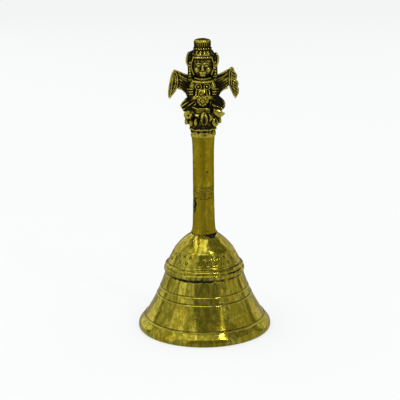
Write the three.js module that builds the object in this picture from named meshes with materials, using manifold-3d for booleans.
// Brass puja bell: a turned bowl, a turned stem, a cast winged figure on top and a hanging clapper.
// Millimetres, +Z up, the mouth rests on z = 0 and the figure looks along -Y.
import * as THREE from 'three';
import { mergeVertices } from 'three/addons/utils/BufferGeometryUtils.js';
import Module from 'manifold-3d';

const wasm = await Module();
wasm.setup();

// ---- driving dimensions -------------------------------------------------------------------
const GAP = 0.3;                    // clearance between pieces that touch on the real bell
const ROUND = 64;                   // facets round the bowl
const MOUTH_RADIUS = 37;
const RIM_INSIDE = 33.7;            // inner edge of the flat ring the bell stands on
const LIP_TOP = new THREE.Vector2(33.0, 7.5);
const SKIRT_BEND = new THREE.Vector2(25.4, 19.5);
const SKIRT_TOP = new THREE.Vector2(21.8, 31.5);
const COLLAR_RADIUS = 22.2;
const BORDER_FOOT = new THREE.Vector2(19.6, 39.2);
const DOME_FOOT = new THREE.Vector2(16.2, 45.5);
const DOME_BEND = new THREE.Vector2(12.2, 50.7);
const CROWN_Z = 54;                 // flat on top of the bowl, where the stem stands
const CROWN_RADIUS = 7;
const CROWN_THICK = 2.8;
const WALL = 2.6;                   // measured level with the ground

const STEM_FOOT = CROWN_Z + GAP;
const STEM_TOP = 109.2;
const STEM_RADIUS = 5.8;
const STEM_FOOT_RADIUS = 6.9;
const STEM_HEAD_RADIUS = 6.4;
const SOCKET_RADIUS = 3.3;
const SOCKET_DEPTH = 6.5;

const BOLT_RADIUS = 1.9;
const BOLT_TOP = 66;
const EYE_WIRE = 0.95;
const EYE_RING = 2.6;
const EYE_Z = 43.6;
const WASHER_RADIUS = 5;
const WASHER_THICK = 1;
const NUT_FLATS = 7;
const NUT_THICK = 2.4;

const LINK_WIRE = 0.8;
const LINK_BEND = 2.05;             // radius of each end of the link, to the middle of the wire
const LINK_STRAIGHT = 5;
const LINK_PIVOT_Z = EYE_Z - EYE_RING;
const ROD_PIVOT_Z = LINK_PIVOT_Z - LINK_STRAIGHT - LINK_BEND;
const ROD_WIRE = 0.8;
const ROD_RADIUS = 1.25;
const BALL_RADIUS = 7;
const BALL_Z = 11.2;

const FIGURE_BASE = STEM_TOP + GAP;
const TOTAL_HEIGHT = 161.5;
const SPIGOT_RADIUS = SOCKET_RADIUS - GAP;
const LOTUS_TOP = 122.4;
const HEAD_Z = 147.2;
const KNEE = new THREE.Vector3(11.6, -3.2, 124.2);
const WING_THICK = 1.8;

// ---- making and joining solids ------------------------------------------------------------
function solid(geometry) {
  const bare = geometry.clone();
  bare.deleteAttribute('normal');
  bare.deleteAttribute('uv');
  const merged = mergeVertices(bare, 1e-4);
  const corners = [];
  const index = merged.index.array;
  for (let i = 0; i < index.length; i += 3) {
    const [a, b, c] = [index[i], index[i + 1], index[i + 2]];
    if (a !== b && b !== c && c !== a) corners.push(a, b, c);
  }
  return new wasm.Manifold(new wasm.Mesh({
    numProp: 3,
    vertProperties: new Float32Array(merged.attributes.position.array),
    triVerts: new Uint32Array(corners),
  }));
}

function join(pieces) {
  return pieces.reduce((whole, piece) => whole.add(piece));
}

function brassMesh(name, shape, colour, roughness) {
  const out = shape.getMesh();
  const geometry = new THREE.BufferGeometry();
  geometry.setAttribute('position', new THREE.BufferAttribute(new Float32Array(out.vertProperties), 3));
  geometry.setIndex(new THREE.BufferAttribute(new Uint32Array(out.triVerts), 1));
  geometry.computeVertexNormals();
  const material = new THREE.MeshStandardMaterial({ color: colour, roughness, metalness: 1 });
  const mesh = new THREE.Mesh(geometry, material);
  mesh.name = name;
  return mesh;
}

// A turned solid: the profile runs up the outside, then back down the inside or the axis.
function turned(profile, facets = ROUND) {
  const lathe = new THREE.LatheGeometry(profile, facets);
  lathe.rotateX(Math.PI / 2);
  return solid(lathe);
}

function rod(radius, bottom, top, facets = 24) {
  const cylinder = new THREE.CylinderGeometry(radius, radius, top - bottom, facets);
  cylinder.rotateX(Math.PI / 2);
  cylinder.translate(0, 0, (top + bottom) / 2);
  return solid(cylinder);
}

function blob(centre, size, across = 14) {
  const sphere = new THREE.SphereGeometry(1, across, Math.round(across * 0.7));
  sphere.scale(...size);
  sphere.translate(...centre);
  return solid(sphere);
}

function limb(from, to, radius, facets = 10) {
  const start = new THREE.Vector3(...from);
  const end = new THREE.Vector3(...to);
  const capsule = new THREE.CapsuleGeometry(radius, start.distanceTo(end), 2, facets);
  const along = end.clone().sub(start).normalize();
  const turn = new THREE.Quaternion().setFromUnitVectors(new THREE.Vector3(0, 1, 0), along);
  capsule.applyQuaternion(turn);
  capsule.translate(...start.add(end).multiplyScalar(0.5));
  return solid(capsule);
}

function ring(centre, radius, wire, axis) {
  const torus = new THREE.TorusGeometry(radius, wire, 10, 24);
  if (axis === 'y') torus.rotateX(Math.PI / 2);
  torus.translate(...centre);
  return solid(torus);
}

function bothSides(make) {
  return [make(-1), make(1)];
}

// ---- bowl ---------------------------------------------------------------------------------
function bellBowl() {
  const outside = new THREE.Path();
  outside.moveTo(RIM_INSIDE, 0);
  outside.lineTo(MOUTH_RADIUS - 0.9, 0);
  outside.quadraticCurveTo(MOUTH_RADIUS, 0.4, MOUTH_RADIUS, 1.9);
  outside.quadraticCurveTo(MOUTH_RADIUS - 0.3, 4.3, LIP_TOP.x + 0.3, LIP_TOP.y - 0.4);
  outside.lineTo(LIP_TOP.x, LIP_TOP.y);
  const skirt = new THREE.QuadraticBezierCurve(LIP_TOP, SKIRT_BEND, SKIRT_TOP).getPoints(12);
  skirt.slice(1).forEach((point) => outside.lineTo(point.x, point.y));
  outside.lineTo(SKIRT_TOP.x - 0.3, SKIRT_TOP.y + 0.5);
  outside.lineTo(COLLAR_RADIUS, 32.8);
  outside.lineTo(COLLAR_RADIUS, 34.9);
  outside.lineTo(COLLAR_RADIUS - 0.6, 35.5);
  outside.lineTo(COLLAR_RADIUS - 0.5, 36.0);
  outside.lineTo(COLLAR_RADIUS - 1.9, 38.4);
  outside.lineTo(BORDER_FOOT.x, BORDER_FOOT.y - 0.3);
  outside.lineTo(BORDER_FOOT.x, BORDER_FOOT.y);
  outside.quadraticCurveTo(18.0, 41.8, DOME_FOOT.x, DOME_FOOT.y);
  outside.quadraticCurveTo(DOME_BEND.x, DOME_BEND.y, CROWN_RADIUS, CROWN_Z);
  outside.lineTo(BOLT_RADIUS + 0.4, CROWN_Z);
  const inside = new THREE.Path();
  inside.moveTo(BOLT_RADIUS + 0.4, CROWN_Z - CROWN_THICK);
  inside.lineTo(5.2, CROWN_Z - CROWN_THICK);
  inside.quadraticCurveTo(DOME_BEND.x - 1.8, DOME_BEND.y - 1.5, DOME_FOOT.x - WALL, DOME_FOOT.y);
  inside.lineTo(COLLAR_RADIUS - 3.6, 38);
  inside.lineTo(SKIRT_TOP.x - WALL, SKIRT_TOP.y);
  inside.quadraticCurveTo(SKIRT_BEND.x - WALL, SKIRT_BEND.y, LIP_TOP.x - WALL, LIP_TOP.y + 0.8);
  inside.lineTo(RIM_INSIDE, 0);
  const profile = outside.getPoints(4).concat(inside.getPoints(5));
  return turned(profile);
}

// ---- stem ---------------------------------------------------------------------------------
function handleStem() {
  const outside = new THREE.Path();
  outside.moveTo(0, STEM_FOOT);
  outside.lineTo(STEM_FOOT_RADIUS, STEM_FOOT);
  outside.quadraticCurveTo(6.2, STEM_FOOT + 1.6, STEM_RADIUS + 0.25, STEM_FOOT + 8);
  outside.lineTo(STEM_RADIUS, STEM_FOOT + 20);
  outside.lineTo(STEM_RADIUS, STEM_TOP - 12);
  outside.quadraticCurveTo(STEM_RADIUS + 0.1, STEM_TOP - 4, STEM_HEAD_RADIUS, STEM_TOP);
  outside.lineTo(0, STEM_TOP);
  const body = turned(outside.getPoints(4), 40);
  const boltHole = rod(BOLT_RADIUS + GAP, STEM_FOOT - 1, BOLT_TOP + 1.5);
  const socket = rod(SOCKET_RADIUS, STEM_TOP - SOCKET_DEPTH, STEM_TOP + 1);
  return body.subtract(boltHole).subtract(socket);
}

// ---- winged figure ------------------------------------------------------------------------
function lotusSeat() {
  const outline = new THREE.Path();
  outline.moveTo(0, FIGURE_BASE);
  outline.lineTo(6.4, FIGURE_BASE);
  outline.lineTo(6.9, 112.6);
  outline.quadraticCurveTo(7.8, 114.6, 9.2, 117);
  outline.quadraticCurveTo(10.4, 119, 10.2, 121);
  outline.lineTo(8.4, LOTUS_TOP);
  outline.lineTo(0, LOTUS_TOP);
  return turned(outline.getPoints(3), 24);
}

function tallCrown() {
  const outline = new THREE.Path();
  outline.moveTo(0, HEAD_Z + 2);
  outline.lineTo(6.4, HEAD_Z + 5.2);
  outline.lineTo(6.3, HEAD_Z + 6.4);
  outline.lineTo(5.6, HEAD_Z + 8.2);
  outline.lineTo(5.3, HEAD_Z + 9.6);
  outline.lineTo(4.7, HEAD_Z + 10);
  outline.lineTo(4.6, HEAD_Z + 12.6);
  outline.quadraticCurveTo(3.8, TOTAL_HEIGHT, 0, TOTAL_HEIGHT);
  return turned(outline.getPoints(3), 24);
}

// One wing, drawn for the right side: shoulder, leading edge, tip, scalloped outer edge, lower tip.
function wing(side) {
  const outline = new THREE.Shape();
  outline.moveTo(4, 141.5);
  outline.lineTo(9, 141.6);
  outline.lineTo(15.2, 145.2);
  outline.quadraticCurveTo(17.2, 145.4, 17.2, 142.6);
  outline.quadraticCurveTo(19.4, 140.2, 18.2, 137.8);
  outline.quadraticCurveTo(20.1, 135.6, 18.9, 134);
  outline.quadraticCurveTo(20.4, 131, 17.8, 128.8);
  outline.quadraticCurveTo(15.2, 131.0, 13.5, 133.4);
  outline.quadraticCurveTo(11.0, 132.6, 8.8, 129.4);
  outline.lineTo(4, 130.4);
  outline.closePath();
  const plate = new THREE.ExtrudeGeometry(outline, {
    depth: WING_THICK,
    bevelEnabled: false,
    curveSegments: 3,
  });
  plate.rotateX(Math.PI / 2);
  plate.translate(0, 1.2 + WING_THICK, 0);
  plate.rotateZ(0.1);
  const right = solid(plate);
  return side > 0 ? right : right.mirror([1, 0, 0]);
}

function wingedFigure() {
  const knee = (side) => [side * KNEE.x, KNEE.y, KNEE.z];
  const parts = [
    rod(SPIGOT_RADIUS, STEM_TOP - SOCKET_DEPTH + 1, FIGURE_BASE + 1),
    lotusSeat(),
    blob([0, 0.6, 124], [9.4, 6.4, 4.2]),
    blob([0, 0.8, 133], [6.4, 4.9, 8.6]),
    blob([0, 0, 141.2], [4.2, 4, 2.6]),
    blob([0, -0.6, HEAD_Z], [5.6, 5.6, 6.6], 18),
    tallCrown(),
    blob([0, -7.2, 129], [2.7, 2.3, 2.7]),
    ...bothSides(wing),
    ...bothSides((side) => limb([side * 4, -1, 123.8], knee(side), 3)),
    ...bothSides((side) => limb(knee(side), [side * 4.5, -7.2, 121.6], 2.3)),
    ...bothSides((side) => blob([side * 8.1, -6.2, 121], [2.6, 2.1, 2.2], 12)),
    ...bothSides((side) => limb([side * 6.4, 0.2, 138], [side * 6.6, -2.6, 129.6], 2.1)),
    ...bothSides((side) => limb([side * 6.6, -2.6, 129.6], [side * 1.6, -6.6, 131.4], 1.7)),
    ...bothSides((side) => limb([side * 6.6, 0.2, 148.6], [side * 6.5, 0.2, 143], 1.6)),
    ...bothSides((side) => blob([side * 7.6, 0, 150.4], [1.5, 1.7, 3], 12)),
  ];
  return join(parts);
}

// ---- clapper fastening --------------------------------------------------------------------
function eyeBolt() {
  const shank = rod(BOLT_RADIUS, EYE_Z + EYE_RING - 0.4, BOLT_TOP);
  return shank.add(ring([0, 0, EYE_Z], EYE_RING, EYE_WIRE, 'y'));
}

function crownWasher() {
  const top = CROWN_Z - CROWN_THICK - GAP;
  const disc = rod(WASHER_RADIUS, top - WASHER_THICK, top, 36);
  return disc.subtract(rod(BOLT_RADIUS + GAP, top - 3, top + 1));
}

function lockNut() {
  const top = CROWN_Z - CROWN_THICK - 2 * GAP - WASHER_THICK;
  const hexagon = rod(NUT_FLATS / Math.sqrt(3), top - NUT_THICK, top, 6);
  return hexagon.subtract(rod(BOLT_RADIUS + GAP, top - NUT_THICK - 1, top + 1));
}

// ---- clapper ------------------------------------------------------------------------------
// Half of the link's oval, in the YZ plane: a bend with a straight leg on each side of it.
class LinkHalf extends THREE.Curve {
  constructor(bendZ, up) {
    super();
    this.bendZ = bendZ;
    this.up = up;
    this.leg = LINK_STRAIGHT / 2 + 0.1;
    this.bend = Math.PI * LINK_BEND;
  }

  getPoint(t, target = new THREE.Vector3()) {
    const along = t * (2 * this.leg + this.bend);
    if (along < this.leg) {
      return target.set(0, LINK_BEND, this.bendZ - this.up * (this.leg - along));
    }
    if (along < this.leg + this.bend) {
      const angle = (along - this.leg) / LINK_BEND;
      const rise = this.up * LINK_BEND * Math.sin(angle);
      return target.set(0, LINK_BEND * Math.cos(angle), this.bendZ + rise);
    }
    return target.set(0, -LINK_BEND, this.bendZ - this.up * (along - this.leg - this.bend));
  }
}

function wireAlong(curve, steps) {
  const section = new THREE.Shape();
  section.absarc(0, 0, LINK_WIRE, 0, 2 * Math.PI, false);
  return solid(new THREE.ExtrudeGeometry(section, {
    steps,
    curveSegments: 6,
    extrudePath: curve,
    bevelEnabled: false,
  }));
}

function clapperLink() {
  const upper = wireAlong(new LinkHalf(LINK_PIVOT_Z, 1), 14);
  const lower = wireAlong(new LinkHalf(LINK_PIVOT_Z - LINK_STRAIGHT, -1), 14);
  return upper.add(lower);
}

function clapperRod() {
  const shoulder = BALL_Z + BALL_RADIUS + GAP;
  const rivet = BALL_Z - BALL_RADIUS - GAP;
  return join([
    ring([0, 0, ROD_PIVOT_Z], LINK_BEND, ROD_WIRE, 'y'),
    rod(ROD_RADIUS, rivet - 0.5, ROD_PIVOT_Z - LINK_BEND + 0.3, 20),
    rod(2.1, shoulder, shoulder + 1.2, 20),
    rod(2.2, rivet - 0.9, rivet, 20),
  ]);
}

function clapperBall() {
  const ball = blob([0, 0, BALL_Z], [BALL_RADIUS, BALL_RADIUS, BALL_RADIUS], 28);
  return ball.subtract(rod(ROD_RADIUS + GAP, BALL_Z - 10, BALL_Z + 10, 20));
}

// ---- the bell -----------------------------------------------------------------------------
const bell = new THREE.Group();
bell.name = 'brass_puja_bell';
const golden = 0xb5a045;
const worn = 0x8f8038;
bell.add(brassMesh('bell_bowl', bellBowl(), golden, 0.28));
bell.add(brassMesh('handle_stem', handleStem(), golden, 0.35));
bell.add(brassMesh('winged_figure', wingedFigure(), worn, 0.45));
bell.add(brassMesh('eye_bolt', eyeBolt(), worn, 0.5));
bell.add(brassMesh('crown_washer', crownWasher(), worn, 0.5));
bell.add(brassMesh('lock_nut', lockNut(), worn, 0.5));
bell.add(brassMesh('clapper_link', clapperLink(), worn, 0.5));
bell.add(brassMesh('clapper_rod', clapperRod(), worn, 0.5));
bell.add(brassMesh('clapper_ball', clapperBall(), golden, 0.4));

export default bell;
